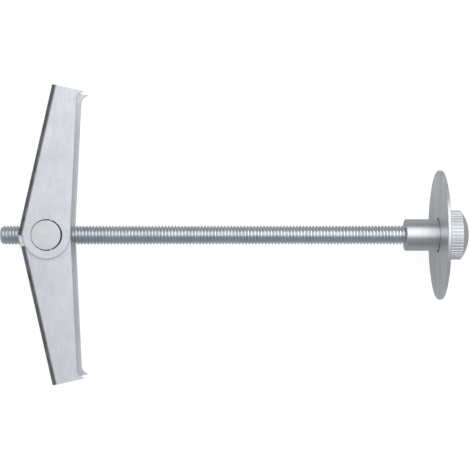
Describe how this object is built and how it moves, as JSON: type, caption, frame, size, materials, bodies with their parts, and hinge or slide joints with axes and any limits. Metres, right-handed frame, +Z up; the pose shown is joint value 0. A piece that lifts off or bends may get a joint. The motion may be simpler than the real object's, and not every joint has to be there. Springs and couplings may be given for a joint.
{
  "type": "spring toggle bolt",
  "caption": "Spring toggle bolt: a threaded rod with two sprung folding wings at one end and a knurled sleeve nut with a large washer at the other, lying at rest.",
  "frame": {"origin": "centre of the washer's clamping face, on the axis of the rod", "axes": "+X runs along the rod towards the knurled head and rises 5.72 degrees, the angle at which the part lies; +Y is the span of the open wings; +Z is up"},
  "size_m": [0.0992, 0.0634, 0.0274],
  "materials": {
    "zinc_rod": "bright zinc plating on a rolled thread",
    "zinc_sheet": "bright zinc plating on pressed sheet",
    "zinc_turned": "bright zinc plating on turned and knurled steel",
    "zinc_washer": "bright zinc plating on a punched washer",
    "spring_steel": "drawn spring wire"
  },
  "bodies": {
    "rod": {"threaded_rod": "zinc_rod"},
    "toggle_nut": {"trunnion_nut": "zinc_turned", "torsion_spring": "spring_steel"},
    "upper_wing": {"upper_wing": "zinc_sheet"},
    "lower_wing": {"lower_wing": "zinc_sheet"},
    "washer": {"washer": "zinc_washer"},
    "sleeve_nut": {"sleeve_nut": "zinc_turned"}
  },
  "joints": [
    {"name": "toggle_travel", "type": "slide", "parent": "rod", "child": "toggle_nut", "axis": [0.995, 0, 0.0996], "range_m": [-0.007, 0.041]},
    {"name": "upper_fold", "type": "hinge", "parent": "toggle_nut", "child": "upper_wing", "pos_m": [-0.08229, 0, -0.00824], "axis": [0.0996, 0, -0.995], "range_deg": [0, 80], "stiffness_Nm_per_rad": 0.02, "springref_deg": -34.38, "deforming": ["torsion_spring"]},
    {"name": "lower_fold", "type": "hinge", "parent": "toggle_nut", "child": "lower_wing", "pos_m": [-0.08229, 0, -0.00824], "axis": [-0.0996, 0, 0.995], "range_deg": [0, 80], "stiffness_Nm_per_rad": 0.02, "springref_deg": -34.38, "deforming": ["torsion_spring"]},
    {"name": "nut_travel", "type": "slide", "parent": "rod", "child": "washer", "axis": [0.995, 0, 0.0996], "range_m": [-0.0021, 0.0084]},
    {"name": "nut_turn", "type": "hinge", "parent": "washer", "child": "sleeve_nut", "pos_m": [0, 0, 0], "axis": [0.995, 0, 0.0996], "range_deg": [-1090, 4330]}
  ],
  "couplings": [
    {"joint": "nut_turn", "follows": "nut_travel", "rad_per_m": 8976}
  ]
}
